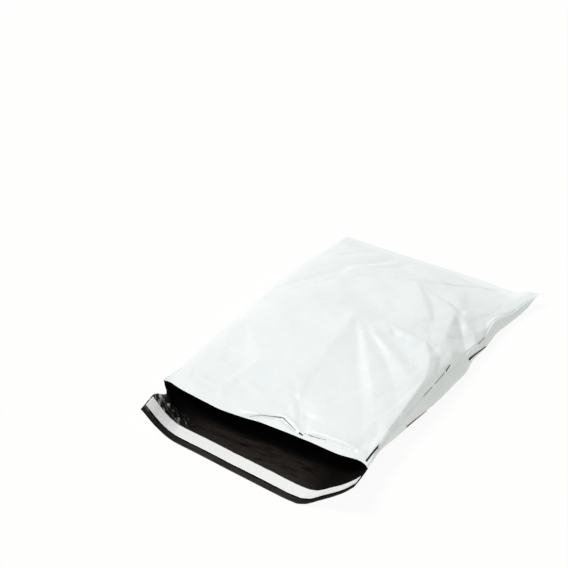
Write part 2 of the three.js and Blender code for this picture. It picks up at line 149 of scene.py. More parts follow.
# How finely the film is laid out: how many strips across, how much they crowd towards the
# seams, and millimetres between rows
FILM_ACROSS_LEFT = 48
FILM_ACROSS_RIGHT = 68
CROWDING = 0.72
MOUTH_ROW = 1.2
MOUTH_ROWS_REACH = 30
BODY_ROW = 2.4

# The mouth line lies this far behind the front of the flap's lip, and the seams this far off centre
LIP_FRONT = 66.69
MOUTH_MIDDLE_OFFSET = -0.5


def station_curve(stations, share):
    """A smooth curve through (share, value) stations that never overshoots them."""
    places, values = np.array(stations, float).T
    slopes = np.diff(values) / np.diff(places)
    tangents = np.concatenate([slopes[:1], np.zeros(len(slopes) - 1), slopes[-1:]])
    before, after = slopes[:-1], slopes[1:]
    same_way = before * after > 0
    tangents[1:-1][same_way] = (2 * before * after / (before + after + 1e-12))[same_way]
    share = np.clip(share, places[0], places[-1])
    k = np.clip(np.searchsorted(places, share, side="right") - 1, 0, len(places) - 2)
    span = places[k + 1] - places[k]
    u = (share - places[k]) / span
    rise = u * u * (3 - 2 * u)
    leave = u * (1 - u) ** 2 * span * tangents[k]
    arrive = u * u * (u - 1) * span * tangents[k + 1]
    return values[k] + (values[k + 1] - values[k]) * rise + leave + arrive


def ease(low, high, value):
    """0 below low, 1 above high and a smooth step between them."""
    u = np.clip((value - low) / (high - low), 0, 1)
    return u * u * (3 - 2 * u)


def blend(a, b, share):
    return a + (b - a) * share


def seam(t, right):
    """The seam's reach from the middle and its height, t millimetres from the mouth line."""
    share = np.clip(t / BAG_LENGTH, 0, 1)
    pull = station_curve(RIGHT_SEAM_PULL if right else LEFT_SEAM_PULL, share)
    height = station_curve(RIGHT_SEAM_HEIGHT if right else LEFT_SEAM_HEIGHT, share)
    return HALF_WIDTH - pull, height


def end_place(across, t):
    """How far back the film lies, with the bottom fold's ear, dip and round corner."""
    to_bottom = ease(BOTTOM_FROM, BAG_LENGTH, t)
    ear = EAR_REACH * ease(EAR_FROM, 1, across) * to_bottom
    dip = EAR_DIP * np.exp(-(((across - EAR_DIP_MIDDLE) / EAR_DIP_WIDTH) ** 2)) * to_bottom
    rounding = CORNER_ROUND * ease(CORNER_FROM, 1, -across) * to_bottom
    return t + ear - dip - rounding


def mouth_waver(across, t):
    return station_curve(MOUTH_WAVER, across) * (1 - ease(0, MOUTH_WAVER_REACH, t))


def fold_height(across, t):
    corner = np.where(across > 0, seam(t, True)[1], seam(t, False)[1])
    rise = ease(EAR_CREST_FROM, EAR_CREST_TOP, across)
    crest = EAR_CREST * (rise - ease(EAR_CREST_TOP, EAR_CREST_END, across))
    return blend(CROWN_HEIGHT[-1][1], corner, np.abs(across) ** FOLD_END_SQUARENESS) + crest


def front_reach(across, t):
    spread = np.sin(across * WIDTH_ROLL) / math.sin(WIDTH_ROLL)
    return blend(-seam(t, False)[0], seam(t, True)[0], (spread + 1) / 2)


def front_face(across, t):
    """The smooth outer face of the front panel, before its folds."""
    edge = blend(seam(t, False)[1], seam(t, True)[1], (across + 1) / 2)
    fullness = (1 - np.abs(across) ** CROWN_SQUARENESS) ** SHOULDER_FULLNESS
    spread = np.sin(np.abs(across) * WIDTH_ROLL) / math.sin(WIDTH_ROLL)
    slack = ease(SLACK_FROM, SLACK_FULL, t) * ease(0, SLACK_ACROSS, across)
    fullness = blend(fullness, 1 - spread ** SLACK_SQUARENESS, slack)
    crown = station_curve(CROWN_HEIGHT, t / BAG_LENGTH)
    height = edge + (crown - edge) * fullness
    height = blend(height, fold_height(across, t), ease(FRONT_FOLD_FROM, BAG_LENGTH, t))
    y = end_place(across, t) + mouth_waver(across, t)
    return np.stack([front_reach(across, t), y, height], -1)


def either(right, right_stations, left_stations, share):
    """The right side's curve where right is true, and the left side's elsewhere."""
    right_values = station_curve(right_stations, share)
    return np.where(right, right_values, station_curve(left_stations, share))


def back_face(across, t):
    """The outer face of the back panel, flat on the floor and rolled up to the seams."""
    right = across > 0
    side = np.where(right, 1, -1)
    place = np.abs(across)
    share = t / BAG_LENGTH
    reach = np.where(right, seam(t, True)[0], seam(t, False)[0])
    top = np.where(right, seam(t, True)[1], seam(t, False)[1])
    inset = either(right, RIGHT_FOOT_INSET, LEFT_FOOT_INSET, share)
    floor = either(right, RIGHT_FLOOR_SHARE, LEFT_FLOOR_SHARE, share)
    full = np.radians(either(right, RIGHT_ROLL, LEFT_ROLL, share))
    belly = np.where(right, station_curve(RIGHT_SIDE_BELLY, share), 0)
    roll = np.clip((place - floor) / (1 - floor), 0, 1)
    angle = roll * full
    flat = (reach - inset) * np.minimum(place, floor) / floor
    rolled = inset * np.sin(angle) / np.sin(full) + belly * np.sin(math.pi * roll)
    height = top * (1 - np.cos(angle)) / (1 - np.cos(full))
    lift = np.maximum(0, 1 - (BAG_LENGTH - t) / FOLD_LIFT_REACH) ** 2
    x = blend(side * (flat + rolled), front_reach(across, t), lift)
    y = end_place(across, t) + mouth_waver(across, t) * ease(BACK_WAVER_FROM, 1, place)
    return np.stack([x, y, blend(height, fold_height(across, t), lift)], -1)


def flap_face(across, t):
    """The outer face of the flap, whose rows near its lip lie at an even distance from the lip."""
    root = back_face(across, np.zeros_like(across + t))
    turn_in = np.where(across > 0, LIP_RIGHT_TURN_IN, LIP_LEFT_TURN_IN)
    half = HALF_WIDTH - turn_in * ease(LIP_TURN_FROM, 1, np.abs(across))
    reach = -FLAP_DEPTH - station_curve(LIP_REACH, across)
    lip = np.stack([across * half, reach, station_curve(LIP_HEIGHT, across)], -1)
    depth = np.linalg.norm(lip - root, axis=-1)
    near_root = blend(depth, FLAP_DEPTH - FLAP_FREE, -t / FLAP_FREE)
    from_lip = np.where(t < -FLAP_FREE, FLAP_DEPTH + t, near_root)
    share = 1 - from_lip / depth
    place = blend(root, lip, share[..., None])
    place[..., 2] += LIP_CURL * share * share * ease(LIP_CURL_FROM, 1, np.abs(across))
    notch = np.exp(-(((t - NOTCH_MIDDLE) / NOTCH_REACH) ** 2)) * ease(NOTCH_FROM, 1, -across)
    place[..., 0] += NOTCH_PULL * notch
    place[..., 2] -= NOTCH_DROP * notch
    return place


def back_and_flap(across, t):
    flap = flap_face(across, np.minimum(t, 0))
    back = back_face(across, np.maximum(t, 0))
    return np.where((t < 0)[..., None], flap, back)


# Folds of the front panel, laid out on the flat film in millimetres: across, along, height.
# Each line of points is a straight-edged fold, and the film between the lines is flat.
FOLD_LINES = [
    # The fan that spreads from the crown towards the mouth
    [
        (5, 222, 4), (6, 190, 3.4), (6, 156, 3), (8, 130, 2.4),
        (8, 101, 1.8), (10, 64, 1), (12, 36, 0),
    ],
    [
        (10, 213, 1.5), (26, 180, -1.8), (46, 137, -3.4),
        (63, 108, -3.4), (80, 82, -2.6), (104, 40, 0),
    ],
    [(5, 222, 4), (34, 178, 1.4), (62, 132, -0.6), (86, 98, -0.8), (105, 75, -0.4), (124, 48, 0)],
    [(20, 212, 1), (44, 188, -1.4), (72, 158, -2.6), (96, 134, -2.2), (116, 112, -0.8)],
    [(5, 222, 4), (36, 200, 2.2), (63, 181, 1.2), (84, 168, 0.8), (104, 154, 0.8), (120, 144, 0.8)],
    [(24, 218, 1.2), (45, 208, -0.4), (62, 198, -1), (88, 184, -1), (106, 178, 0)],
    # The kinked fold from the crown to the right shoulder
    [(5, 244, 0.5), (26, 234, 0.8), (46, 227, 1.6), (55, 225, 2.2), (72, 223, 2.8), (87, 226, 3.4)],
    [(30, 242, -0.8), (52, 235, -1), (69, 234, -0.8), (81, 245, 0.4)],
    [(46, 227, 1.6), (50, 216, -0.8), (64, 208, -0.6), (79, 201, -0.4), (100, 196, 1)],
    # The shoulder over the right side
    [(87, 226, 3.4), (106, 205, 3.2), (118, 190, 3.4), (126, 168, 3.4), (130, 134, 3.2)],
    [(130, 134, 3.2), (134, 100, 3), (135, 66, 3), (137, 42, 2.6), (140, 22, 1.4)],
    # The accordion folds beside the right seam: valley, ridge, valley, ridge, valley
    [(87, 226, 3.4), (107, 221, -1.6), (125, 217, -3.2), (147, 212, -1)],
    [(101, 254, 3.6), (124, 239, 3.2), (146, 227, 1)],
    [(87, 226, 3.4), (106, 232, 3.4), (124, 239, 3.2)],
    [(82, 318, 4.4), (90, 290, 3.8), (101, 254, 3.6)],
    [(82, 318, 4.4), (98, 306, -2), (118, 290, -4), (141, 270, -1)],
    [(82, 318, 4.4), (93, 316, 3.6), (107, 310, 3), (123, 308, 2.4), (140, 297, 0.5)],
    [(77, 346, 0.4), (94, 342, -2.4), (113, 340, -3.2), (132, 342, -2), (143, 341, 0)],
    # The plateau behind the crown and the edge it ends on
    [(20, 349, 4.4), (44, 310, 2.4), (66, 280, 1)],
    [(32, 338, 1.6), (58, 307, -0.6), (72, 275, -0.6)],
    [(20, 349, 4.4), (38, 332, 2.4), (57, 327, 2.6), (71, 325, 3.4), (82, 318, 4.4)],
    [(34, 345, 1), (53, 338, -0.8), (71, 336, -1.6), (86, 331, -2)],
    [(9, 286, 0.8), (30, 278, -0.6), (49, 260, 0)],
    [(8, 312, -0.5), (34, 292, 0.8)],
    # The long ridge from the far left over the back of the crown to the ear
    [(-120, 208, 0), (-85, 222, 0.8), (-66, 252, 1.5), (-49, 296, 2), (-46, 334, 3.2)],
    [(-46, 334, 3.2), (-18, 338, 2.4), (4, 342, 2.8), (20, 349, 4.4)],
    [(20, 349, 4.4), (38, 374, 3), (56, 410, 1.8), (74, 440, 0.4)],
    [(14, 356, 1), (27, 370, -0.8), (44, 392, -1.4), (60, 428, -0.6)],
    [(-2, 400, 1.6), (16, 388, 1.2), (22, 420, 1.4), (34, 440, 0)],
    # Thin folds towards the far left corner
    [(-104, 328, 0.6), (-71, 352, 1), (-57, 392, 0.8), (-54, 436, 0)],
    [(-92, 314, -0.8), (-62, 336, -1), (-46, 358, -1.2), (-38, 394, -1), (-40, 438, 0)],
    [(-40, 348, 1), (-28, 384, 1), (-30, 430, 0)],
    [(-30, 350, -0.6), (-18, 390, -0.8), (-18, 432, 0)],
    [(-90, 368, -0.8), (-76, 410, -0.6), (-66, 440, 0)],
    [(-116, 235, -0.7), (-80, 276, -0.8), (-56, 318, -0.9)],
    [(-104, 260, 0.3), (-89, 297, 0.5), (-70, 326, 0.6)],
    [(-114, 343, -0.6), (-112, 389, -0.6)],
    # The soft edge of the crown and the shallow dents on its near left
    [(-110, 157, 0), (-98, 190, 0.8), (-57, 211, 2), (-38, 224, 2.6), (-17, 229, 3), (5, 222, 4)],
    [(-82, 130, -0.4), (-70, 106, -1.6), (-56, 74, -1.6), (-48, 50, -0.4)],
    [(-77, 132, 0.8), (-60, 112, 0.9), (-46, 96, 0.8)],
    [(-24, 148, 0.6), (-35, 122, 0.8), (-43, 102, 1), (-50, 62, 1), (-60, 26, 0.4)],
    # Folds close to the mouth
    [(13, 64, 1.4), (11, 56, 1.2), (24, 36, 1.6), (36, 9, 1.4)],
    [(20, 62, 0), (22, 50, -0.8), (34, 34, -1.2), (41, 12, -0.6)],
    [(38, 52, 0.4), (45, 38, 0.6), (28, 38, 0.4)],
    [(-100, 12, 0.8), (-81, 9, 0.9), (-68, 18, 0.8)],
    [(-66, 13, -0.6), (-46, 15, -0.4), (-30, 17, 0.4)],
    [(44, 14, 1.2), (60, 17, 1.8), (85, 18, 2), (114, 12, 1)],
    [(104, 32, 0.4), (112, 26, -0.6), (122, 20, 0.4)],
]


# Round the fold lines the film is flat: how far outside the bag the borders of that film lie,
# how far inside the seams and the bottom it begins, and how many points each border has
BORDER_OUTSIDE = 14
FLAT_AT_LEFT = 10
FLAT_AT_RIGHT = 8
FLAT_AT_BOTTOM = 8
BORDER_ACROSS = 9
BORDER_ALONG = 13

# How close two corners of the faceted film may lie, and a height that is above all of it
CORNER_TOLERANCE = 1e-4
HIGH_ABOVE = 100


def height_on(faceted, points):
    """The height of faceted film, as (corners, faces), at each flat-film point (x, y)."""
    tree = BVHTree.FromPolygons(*faceted)
    down = Vector((0, 0, -1))
    found = (tree.ray_cast(Vector((x, y, HIGH_ABOVE)), down)[0] for x, y in points)
    return np.array([hit.z if hit else 0.0 for hit in found])


def laid_on_folds(points):
    """The height of each flat-film point (x, y) on the faceted film that the fold lines span."""
    corners, edges = [], []
    for line in FOLD_LINES:
        first = len(corners)
        corners += line
        edges += [(first + i, first + i + 1) for i in range(len(line) - 1)]
    outside = HALF_WIDTH + BORDER_OUTSIDE
    for x in np.linspace(-HALF_WIDTH, HALF_WIDTH, BORDER_ACROSS):
        corners += [(x, -BORDER_OUTSIDE, 0), (x, BAG_LENGTH - FLAT_AT_BOTTOM, 0)]
        corners.append((x, BAG_LENGTH + BORDER_OUTSIDE, 0))
    for y in np.linspace(0, BAG_LENGTH, BORDER_ALONG):
        corners += [(-outside, y, 0), (outside, y, 0)]
        corners += [(FLAT_AT_LEFT - HALF_WIDTH, y, 0), (HALF_WIDTH - FLAT_AT_RIGHT, y, 0)]
    flat = [Vector(c[:2]) for c in corners]
    places, _, faces, origins, _, _ = delaunay_2d_cdt(flat, edges, [], 0, CORNER_TOLERANCE, True)
    # A corner where two fold lines cross takes the height of the nearest known one
    heights = [np.mean([corners[i][2] for i in source]) if source else None for source in origins]
    known = [(p, h) for p, h in zip(places, heights) if h is not None]
    for i, h in enumerate(heights):
        if h is None:
            heights[i] = min(known, key=lambda k: (k[0] - places[i]).length)[1]
    return height_on(([(p.x, p.y, h) for p, h in zip(places, heights)], faces), points)


# How far a crumple's corners stray from an even grid, as a share of its spacing
SCATTER = 0.48


def laid_on_crumple(points, spacing, height, seed):
    """The height of each flat-film point on randomly crumpled film, flat between sharp folds."""
    dice = np.random.default_rng(seed)
    margin = 2 * spacing
    columns = np.arange(-HALF_WIDTH - margin, HALF_WIDTH + margin, spacing)
    rows = np.arange(-FLAP_DEPTH - margin, BAG_LENGTH + margin, spacing)
    x, y = np.meshgrid(columns, rows)
    x = x + dice.uniform(-SCATTER, SCATTER, x.shape) * spacing
    y = y + dice.uniform(-SCATTER, SCATTER, y.shape) * spacing
    heights = dice.uniform(-height, height, x.shape).ravel()
    flat = [Vector(p) for p in zip(x.ravel(), y.ravel())]
    places, _, faces, origins, _, _ = delaunay_2d_cdt(flat, [], [], 0, CORNER_TOLERANCE, True)
    corners = [(p.x, p.y, heights[source[0]]) for p, source in zip(places, origins)]
    return height_on((corners, faces), points)


# Where the flat bag's mouth line and middle lie in the frame
low_corner, high_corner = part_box("film_bag")
MOUTH_Y = low_corner.y / MM + LIP_FRONT
MIDDLE_X = (low_corner.x + high_corner.x) / 2 / MM + MOUTH_MIDDLE_OFFSET
HOME = np.array([MIDDLE_X, MOUTH_Y, low_corner.z / MM])

# The random crumples: spacing and height in millimetres, and seed
CRUMPLES = [
    (40, 0.8, 11),
    (17, 0.6, 23),
    (7, 0.22, 37),
]

# Where the front panel's folds and crumples die away: shares of the half width, millimetres,
# and the share of them that is left at the mouth
CALM_SEAM = 0.97
CALM_BOTTOM = 0.96 * BAG_LENGTH
CALM_MOUTH = 14
LEFT_AT_MOUTH = 0.25


def laid_flat(relief, across, t, *sizes):
    """A relief's heights for film places on a grid."""
    points = np.stack([(across * HALF_WIDTH).ravel(), t.ravel()], -1)
    return relief(points, *sizes).reshape(across.shape)


def crumpled(across, t):
    return sum(laid_flat(laid_on_crumple, across, t, *sizes) for sizes in CRUMPLES)


# Narrow creases: the points they run through on the flat film, their depth and their width.
# A negative depth is a thin ridge.
CREASE_LINES = [
    # The pleat behind the mouth line, with the film beside it standing up
    ([(-22, 2), (-3, 6.5), (14, 16), (23, 11), (37, 4)], 2.6, 1.6),
    ([(-24, 8), (-4, 12), (13, 22.5), (25, 17), (36, 10)], -1.7, 2.8),
    ([(43, 8), (58, 11), (90, 13), (111, 11)], 2.6, 1.9),
    ([(46, 14.5), (60, 17), (90, 19), (110, 17)], -1.3, 2.8),
    ([(13, 66), (11, 56), (24, 39), (36, 9)], 1.1, 2.2),
    ([(27, 38), (38, 36), (46, 38)], 0.9, 2.4),
    # Fine creases spread from the pleat over the near left
    ([(-65, 50), (-50, 46), (-42, 44)], -0.9, 1.6),
    ([(-42, 44), (-37, 54), (-27, 48), (-16, 40)], -1.0, 1.6),
    ([(-12, 44), (-4, 68)], -0.9, 1.5),
    ([(0, 66), (16, 62)], -0.8, 1.5),
    ([(-30, 136), (-17, 151)], -0.8, 1.5),
    ([(-62, 112), (-48, 120)], -0.8, 1.5),
    ([(-100, 60), (-84, 72), (-72, 70)], -0.8, 1.5),
    ([(-96, 34), (-80, 30), (-60, 34)], -0.8, 1.6),
    # The rear folds, thin and straight
    ([(-92, 316), (-62, 338), (-46, 360), (-38, 396), (-40, 436)], 1.3, 2.4),
    ([(-90, 368), (-76, 410), (-66, 438)], 1.1, 2.2),
    ([(-116, 235), (-80, 276), (-56, 318)], 1.1, 2.4),
    ([(-30, 350), (-18, 390), (-18, 430)], 1.1, 2.2),
    ([(-116, 204), (-84, 231), (-61, 268), (-47, 306), (-35, 330)], 1.0, 2.0),
    ([(-106, 200), (-59, 221), (-30, 236), (-1, 242)], 0.9, 2.2),
    # The small folds in front of the crown
    ([(3, 74), (12, 56), (18, 50), (30, 24), (36, 8)], 0.9, 1.6),
    ([(20, 50), (42, 55)], 0.7, 1.8),
    ([(41, 226), (52, 216), (73, 214), (92, 213)], 1.2, 2.0),
    # The long line from the crown to the ear, and the strip that lies beyond it
    ([(-35, 312), (-14, 327), (5, 340), (23, 354), (40, 370), (58, 406), (81, 443)], 1.4, 1.9),
    ([(8, 346), (24, 360), (38, 376), (54, 410), (74, 444)], -0.8, 2.6),
]

# Between these distances from its end, in millimetres, a crease grows to its full depth
CREASE_START = (-1, 7)

# The weld's groove: shares of the half width, and millimetres for its depth
WELD_LINE = 0.972
WELD_SOFTNESS = 0.011
WELD_DEPTH = 0.9


def from_line(x, y, points):
    """The distance of each place to a line of points, and how far from the line's ends it is."""
    nearest = np.full(x.shape, 1e9)
    for (ax, ay), (bx, by) in zip(points, points[1:]):
        dx, dy = bx - ax, by - ay
        along = np.clip(((x - ax) * dx + (y - ay) * dy) / (dx ** 2 + dy ** 2), 0, 1)
        off = np.hypot(x - blend(ax, bx, along), y - blend(ay, by, along))
        nearest = np.minimum(nearest, off)
    ends = [np.hypot(x - ex, y - ey) for ex, ey in (points[0], points[-1])]
    return nearest, np.minimum(*ends)


def narrow_creases(across, t):
    total = np.zeros(across.shape)
    for points, depth, width in CREASE_LINES:
        distance, from_end = from_line(across * HALF_WIDTH, t, points)
        total -= depth * np.exp(-(distance / width) ** 2) * ease(*CREASE_START, from_end)
    return total


def front_creases(across, t):
    """How far the front panel's folds, crumples, creases and welds stand off its smooth shape."""
    side = np.abs(across)
    near_seam = 1 - ease(CALM_SEAM, 1, side)
    near_mouth = blend(LEFT_AT_MOUTH, 1, ease(0, CALM_MOUTH, t))
    near_bottom = 1 - ease(CALM_BOTTOM, BAG_LENGTH, t)
    broad = laid_flat(laid_on_folds, across, t) + crumpled(across, t)
    broad = broad * near_seam * near_mouth * near_bottom
    weld = WELD_DEPTH * np.exp(-(((side - WELD_LINE) / WELD_SOFTNESS) ** 2)) * near_bottom
    return broad + narrow_creases(across, t) * near_seam - weld


# Where the inner crumples of the back panel and the flap die away: shares of the half width
# and millimetres, and how much of them there is
BACK_CALM_SEAM = 0.93
BACK_CALM_BOTTOM = 0.9 * BAG_LENGTH
BACK_CALM_LIP = 12
BACK_SHARE = 0.5
BACK_RISE = 0.25
BACK_ROLLED_FROM = 0.5
BACK_ROLLED_SHARE = 0.5

# The hard crumples at the left of the flap: spacing, height and seed, and where they lie
WING_CRUMPLE = (11, 1.6, 61)
WING_RISE = 0.8
WING_FROM = (0.55, 0.8)
WING_CALM_SEAM = 0.95
WING_CALM_LINER = 14
WING_CALM_INSIDE = (20, 60)


def back_dents(across, t):
    """How far the crumples of the back panel and the flap stand up from their smooth shape."""
    side = np.abs(across)
    lying = 1 - ease(BACK_ROLLED_FROM, 1, side) * BACK_ROLLED_SHARE
    free = ease(0, BACK_CALM_LIP, t + FLAP_DEPTH) * (1 - ease(BACK_CALM_BOTTOM, BAG_LENGTH, t))
    near_seam = 1 - ease(BACK_CALM_SEAM, 1, side)
    return np.maximum(0, BACK_SHARE * crumpled(across, t) + BACK_RISE) * lying * free * near_seam


def wing_dents(across, t):
    """How far the hard crumples at the left of the flap stand up from its smooth shape."""
    beside = ease(*WING_FROM, -across) * (1 - ease(WING_CALM_SEAM, 1, -across))
    here = beside * ease(0, WING_CALM_LINER, t + LINER_START) * (1 - ease(*WING_CALM_INSIDE, t))
    return here * (laid_flat(laid_on_crumple, across, t, *WING_CRUMPLE) + WING_RISE)


# The steps that a face's normal is measured over: a share of the half width and millimetres
NORMAL_ACROSS = 0.004
NORMAL_ALONG = 0.6


def off_face(face, across, t, height):
    """Places height millimetres off a face, along its normal."""
    right, left = np.minimum(across + NORMAL_ACROSS, 1), np.maximum(across - NORMAL_ACROSS, -1)
    east = face(right, t) - face(left, t)
    north = face(across, t + NORMAL_ALONG) - face(across, t - NORMAL_ALONG)
    normal = np.cross(east, north)
    normal /= np.linalg.norm(normal, axis=-1, keepdims=True)
    return face(across, t) + normal * height[..., None]


def crowded(left, right):
    """Stations from -1 to 1 that crowd a little towards both ends, so many in each half."""
    turn = np.concatenate([np.linspace(-1, 0, left + 1)[:-1], np.linspace(0, 1, right + 1)])
    full = math.pi / 2 * CROWDING
    return np.sin(turn * full) / math.sin(full)


def film_grid(bm, across, along, place, faces_down=False):
    """A grid of film between stations, whose points lie at place(across, along)."""
    nx, ny = len(across) - 1, len(along) - 1
    made = bmesh.ops.create_grid(bm, x_segments=nx, y_segments=ny, size=1)
    column = [round((v.co.x + 1) / 2 * nx) for v in made["verts"]]
    row = [round((v.co.y + 1) / 2 * ny) for v in made["verts"]]
    a, t = np.meshgrid(across, along)
    points = (place(a, t) + HOME) * MM
    for v, i, j in zip(made["verts"], column, row):
        v.co = points[j, i]
    if faces_down:
        bmesh.ops.reverse_faces(bm, faces=list({f for v in made["verts"] for f in v.link_faces}))
    return made["verts"]


# How far the black scraps stand off the film, and their strips across and along; some show the
# black side, and most are painted shade
SCRAP_LIFT = 0.5
SCRAP_DROP = 0.75
SCRAP_ACROSS = 3
SCRAP_ALONG = 12


def over_front(across, t):
    return off_face(front_face, across, t, front_creases(across, t) + SCRAP_LIFT)


def under_side(across, t):
    return off_face(back_face, across, t, np.full(across.shape, -SCRAP_DROP))


def black_scrap(bm, corners, lay):
    """A scrap of black film laid over the outside, between four corners on the flat film. Some show
    the black side; the others are painted shade.
    """
    near_left, near_right, far_right, far_left = (np.array(corner, float) for corner in corners)

    def place(u, v):
        u, v = (u[..., None] + 1) / 2, (v[..., None] + 1) / 2
        flat = blend(blend(near_left, near_right, u), blend(far_left, far_right, u), v)
        return lay(flat[..., 0] / HALF_WIDTH, flat[..., 1])

    across, along = (np.linspace(-1, 1, strips + 1) for strips in (SCRAP_ACROSS, SCRAP_ALONG))
    verts = film_grid(bm, across, along, place, faces_down=lay is under_side)
    for face in {f for v in verts for f in v.link_faces}:
        face.material_index = 1


# The black scraps laid on the outside: their corners on the flat film
BLACK_SIDE_AND_PAINTED_SHADE = [
    # At the right end of the mouth and in the notch of the mouth line
    [(130.5, 5), (134.5, 4), (142, 35), (138.5, 37.5)],
    [(36.5, 5.2), (41, 3.9), (41.5, 5.6), (37, 6.8)],
    # Painted shade in the two sides of the pleat's crack, and in the fold to its right
    [(-14, 4.8), (14, 17.7), (14.4, 18.2), (-14, 4.9)],
    [(14.4, 17.8), (33, 7), (33.1, 7.1), (14.8, 18.2)],
    [(42, 8.3), (66, 12.4), (66.1, 12.5), (42, 8.8)],
    # Painted shade along the right seam's edge
    [(147.4, 300), (149.2, 300), (149.4, 319), (148.2, 319)],
    [(147.9, 211), (149.1, 211), (146.6, 223), (145.8, 223)],
    [(146.6, 152), (146.85, 152), (147.5, 174), (147.2, 174)],
    [(147.3, 181), (147.6, 181), (148.7, 207), (148.4, 207)],
]
# Painted shadow as black scraps, low on the right side above the floor
PAINTED_SHADOW_UNDER_SIDE = [
    [(144, 266), (146, 268), (140.4, 314), (138.6, 316)],
    [(141.2, 106), (142.5, 107), (136.7, 155), (135.5, 156)],
]

# The seams' edges meet within this many millimetres, and a fold sharper than this has a hard edge
SEAM_GAP = 0.02
HARD_FOLD = math.radians(50)


def finished(name, bm, node, materials):
    """A mesh object of its own that stands for a node of the frame."""
    mesh = bpy.data.meshes.new(name)
    bm.to_mesh(mesh)
    bm.free()
    mesh.shade_smooth()
    piece = bpy.data.objects.new(name, mesh)
    bpy.context.scene.collection.objects.link(piece)
    for material in materials:
        mesh.materials.append(material)
    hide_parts(node)
    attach(piece, "root")
    return piece


def thicken(piece, thickness, inner=0):
    """Thickness inwards from a piece's face, with the material numbered inner on its inside."""
    wall = piece.modifiers.new("film_wall", "SOLIDIFY")
    wall.thickness = thickness * MM
    wall.offset = -1
    wall.material_offset = inner


def make_film_bag(materials):
    bm = bmesh.new()
    stations = crowded(FILM_ACROSS_LEFT, FILM_ACROSS_RIGHT)
    body_rows = round((BAG_LENGTH - MOUTH_ROWS_REACH) / BODY_ROW)
    along = np.concatenate([
        np.arange(0, MOUTH_ROWS_REACH, MOUTH_ROW),
        np.linspace(MOUTH_ROWS_REACH, BAG_LENGTH, body_rows + 1),
    ])
    flap_rows = round(FLAP_DEPTH / BODY_ROW)
    with_flap = np.concatenate([np.linspace(-FLAP_DEPTH, 0, flap_rows + 1)[:-1], along])

    def front(a, t):
        return off_face(front_face, a, t, front_creases(a, t))

    def back(a, t):
        place = back_and_flap(a, t)
        place[..., 2] += back_dents(a, t) + wing_dents(a, t)
        return place

    film_grid(bm, stations, along, front)
    film_grid(bm, stations, with_flap, back, faces_down=True)
    bmesh.ops.remove_doubles(bm, verts=bm.verts, dist=SEAM_GAP * MM)
    # Black scraps on the outside; those in the pleat, along the right seam and low on the side are
    # painted shade
    for corners in BLACK_SIDE_AND_PAINTED_SHADE:
        black_scrap(bm, corners, over_front)
    for corners in PAINTED_SHADOW_UNDER_SIDE:
        black_scrap(bm, corners, under_side)
    for edge in bm.edges:
        if len(edge.link_faces) == 2 and edge.calc_face_angle(0) > HARD_FOLD:
            edge.smooth = False
    piece = finished("courier_bag_film", bm, "film_bag", materials)
    thicken(piece, FILM_THICKNESS, inner=1)
    return piece


# The closure: how high the liner and the adhesive lie off the flap, their thickness, and their
# strips across and along
LINER_LIFT, LINER_THICKNESS, LINER_STRIPS = 1.2, 0.2, (240, 16)
ADHESIVE_LIFT, ADHESIVE_THICKNESS, ADHESIVE_STRIPS = 0.75, 0.3, (120, 6)

# The liner's cockle: crumples drawn out this much along the bag, and the rise of its edges
LINER_CRUMPLES = [(7, 0.22, 51), (16, 0.3, 52)]
LINER_DRAWN_OUT = 3
LINER_RISE = 0.35
LINER_EDGE_SQUARENESS = 4


def above_flap(height, cockle=None):
    """Places on the flap's inner face, lifted off it by height millimetres and a cockle."""

    def place(across, t):
        lift = np.full(across.shape, height) + (cockle(across, t) if cockle else 0)
        return off_face(flap_face, across, t, lift)

    return place


def liner_cockle(across, t):
    """The liner's fine cross creases and the slight lift of its edges."""
    drawn_out = t / LINER_DRAWN_OUT
    fine = sum(laid_flat(laid_on_crumple, across, drawn_out, *sizes) for sizes in LINER_CRUMPLES)
    edge = np.abs((t + LINER_START + LINER_WIDTH / 2) / (LINER_WIDTH / 2))
    return LINER_RISE + fine + LINER_RISE * edge ** LINER_EDGE_SQUARENESS


def make_strip(names, material, margins, strips, lift, thickness, cockle=None):
    """A strip across the flap, with margins to the seams and to the liner's long edges."""
    bm = bmesh.new()
    end_margin, side_margin = margins
    reach = 1 - end_margin / HALF_WIDTH
    start = LINER_START + side_margin
    across = np.linspace(-reach, reach, strips[0] + 1)
    along = np.linspace(-start - LINER_WIDTH + 2 * side_margin, -start, strips[1] + 1)
    film_grid(bm, across, along, above_flap(lift, cockle))
    name, node, slot = names
    piece = finished(name, bm, node, [material])
    thicken(piece, thickness)
    return piece


class Reading:
    """A number or a vector that a finish works out at each point of a surface."""

    def __init__(self, finish, socket):
        self.finish = finish
        self.socket = socket

    def math(self, operation, *values):
        return self.finish.node("ShaderNodeMath", {"operation": operation}, dict(enumerate(values)))

    def __add__(self, other):
        return self.math("ADD", self, other)

    def __sub__(self, other):
        return self.math("SUBTRACT", self, other)

    def __mul__(self, other):
        return self.math("MULTIPLY", self, other)

    __radd__ = __add__
    __rmul__ = __mul__

    def between(self, low, high):
        """0 at low, 1 at high and a smooth step between them."""
        settings = {"interpolation_type": "SMOOTHSTEP"}
        values = {"Value": self, "From Min": low, "From Max": high}
        return self.finish.node("ShaderNodeMapRange", settings, values)


